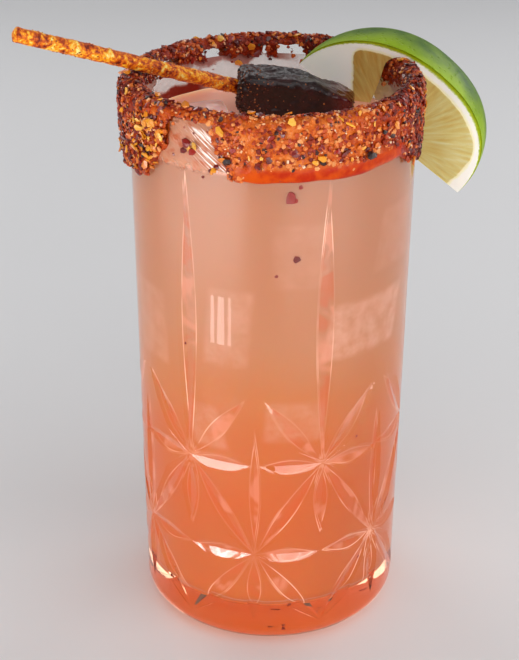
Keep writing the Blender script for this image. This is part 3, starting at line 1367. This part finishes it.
candy = pressed_candy()
pulp, place = new_material("tamarind_pulp", Specular_IOR_Level=0.3, Coat_Roughness=0.06)
blotch = mottle(place, 230.0, 5.0, 0.6)
speckle = mottle(place, 1300.0, 3.0)
drawn = place.node("ShaderNodeVectorMath", {"operation": "MULTIPLY"}, {0: place, 1: (0.16, 1.0, 1.0)})
fine_lines = mottle(drawn, 1500.0, 4.0, 0.65)
dark = (blotch * 0.7 + speckle * 0.3).ramp(
    (0.3, 14, 3, 3),
    (0.5, 34, 7, 5),
    (0.72, 68, 15, 8),
)
wet_end = place.axis("X").step(0.0130, 0.0195)
feed(
    pulp,
    Base_Color=blend_of(dark, paint(104, 8, 12), wet_end * 0.8),
    Roughness=0.30 - wet_end * 0.16 + speckle * 0.12,
    Coat_Weight=wet_end * 0.45 + 0.36,
    Normal=bump_of(blotch + speckle * 0.4 + fine_lines * 0.35, 0.0006, 0.6),
)
dress(candy, pulp, "tamarind", "tamarind_candy")

sugar_spots = []
candy_faces = [face for face in candy.data.polygons if face.normal.z > -0.5]
for face in random.sample(candy_faces, SUGAR_TRIES):
    torn_share = 1 - eased(-0.008, 0.004, face.center.x)
    if random.random() < 0.10 + 0.6 * torn_share - 0.3 * (face.normal.z > 0.7):
        spot = face.center + face.normal * 0.00004
        sugar_spots.append((spot, face.normal, random.uniform(*SUGAR_SIZES), 1.2, random.random()))
DARK_SUGAR = ((0.0, 30, 8, 5), (0.45, 92, 34, 14), (0.8, 160, 84, 34), (1.0, 222, 150, 84))
dark_sugar = grain_material("candy_chilli_sugar", DARK_SUGAR, 0.3, 0.3)
scattered("candy_sugar", rough_grain(0.8), sugar_spots, dark_sugar, "tamarind")

# The stick: a turned wooden pick rolled in chilli sugar, which has stained and crusted it in patches.
STICK_RADIUS = 0.0019
STICK_END = Vector((-0.0626, -0.0163, 0.1653))
STICK_SIDES = 20
STICK_RINGS = 150
STICK_CRUST = 0.00022
DUST_TRIES = 700
DUST_SIZES = (0.00010, 0.00024)
stick_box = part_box("candy_stick")
STICK_TIP = Vector((stick_box[1].x - 0.0006, stick_box[1].y - 0.0022, stick_box[0].z + 0.0021))
STICK_WAY = (STICK_TIP - STICK_END).normalized()
STICK_SIDE = STICK_WAY.cross(Vector((0, 0, 1))).normalized()
STICK_RISE = STICK_SIDE.cross(STICK_WAY)


def stick_point(share, angle, out=0.0):
    """Point of the stick's uneven surface at a share of its length and an angle round it."""
    middle = STICK_END.lerp(STICK_TIP, share)
    facing = STICK_SIDE * math.cos(angle) + STICK_RISE * math.sin(angle)
    crust = noise.fractal((middle + facing * 0.002) * 480, 1.0, 2.0, 3)
    rounded = 1 - 0.45 * (1 - eased(0.0, 0.008, share))
    return middle + facing * (STICK_RADIUS * rounded + STICK_CRUST * crust + out), facing


def dusted_stick():
    """The stick, closed at both ends by a shrunken ring."""
    rings = []
    for step in range(STICK_RINGS + 1):
        share = step / STICK_RINGS
        rings.append([stick_point(share, math.tau * side / STICK_SIDES)[0] for side in range(STICK_SIDES)])
    stick = lofted("dusted_stick", rings, capped=True)
    smooth(stick, 50.0)
    return stick


stick = dusted_stick()
wood, place = new_material("stained_wood", Specular_IOR_Level=0.3, Coat_Weight=0.08, Coat_Roughness=0.3)
stain = mottle(place, 360.0, 5.0, 0.65, 0.6)
dust = mottle(place, 1100.0, 3.0)
wood_colour = (stain * 0.65 + dust * 0.35).ramp(
    (0.40, 104, 20, 0),
    (0.46, 184, 66, 0),
    (0.52, 232, 118, 2),
    (0.57, 254, 176, 18),
    (0.64, 255, 236, 140),
)
feed(wood, Base_Color=wood_colour, Roughness=dust * 0.3 + 0.42, Normal=bump_of(dust + stain, 0.0004, 0.6))
dress(stick, wood, "dusted_stick", "candy_stick")

stick_dust = []
for _ in range(DUST_TRIES):
    spot, facing = stick_point(random.uniform(0.01, 0.97), random.uniform(0, math.tau), 0.00003)
    if noise.noise(spot * 300) > -0.05:
        stick_dust.append((spot, facing, random.uniform(*DUST_SIZES), 1.2, random.random()))
PALE_SUGAR = ((0.0, 110, 28, 2), (0.5, 190, 84, 14), (1.0, 244, 190, 96))
pale_sugar = grain_material("chilli_sugar", PALE_SUGAR, 0.5, 0.2)
scattered("stick_dust", rough_grain(0.8), stick_dust, pale_sugar, "dusted_stick")

# The ice: a clear cube that floats in the drink with one corner and its top face out of it.
# It is frozen water, cloudy in its core, and its edges have melted round.
ICE_GRAIN = 0.0005
ICE_WAVES = 0.00025
ice = copied("ice_cube", "melting_ice_cube")
worn(ice, ICE_GRAIN, 10, 0.5)
for vertex in ice.data.vertices:
    vertex.co.z += ICE_WAVES * noise.noise(vertex.co * 260)
smooth(ice, 60.0)
frozen, place = new_material(
    "clear_ice", Roughness=0.1, IOR=1.31, Coat_Weight=0.5, Emission_Strength=0.38,
    Subsurface_Weight=0.6, Subsurface_Scale=0.006,
)
cloudy_core = mottle(place, 240.0, 4.0)
feed(
    frozen,
    Base_Color=blend_of(paint(244, 210, 200), paint(228, 176, 160), cloudy_core),
    Emission_Color=blend_of(paint(190, 150, 142), paint(160, 104, 88), cloudy_core),
    Normal=bump_of(cloudy_core, 0.0006, 0.3),
)
dress(ice, frozen, "ice", "ice_cube")
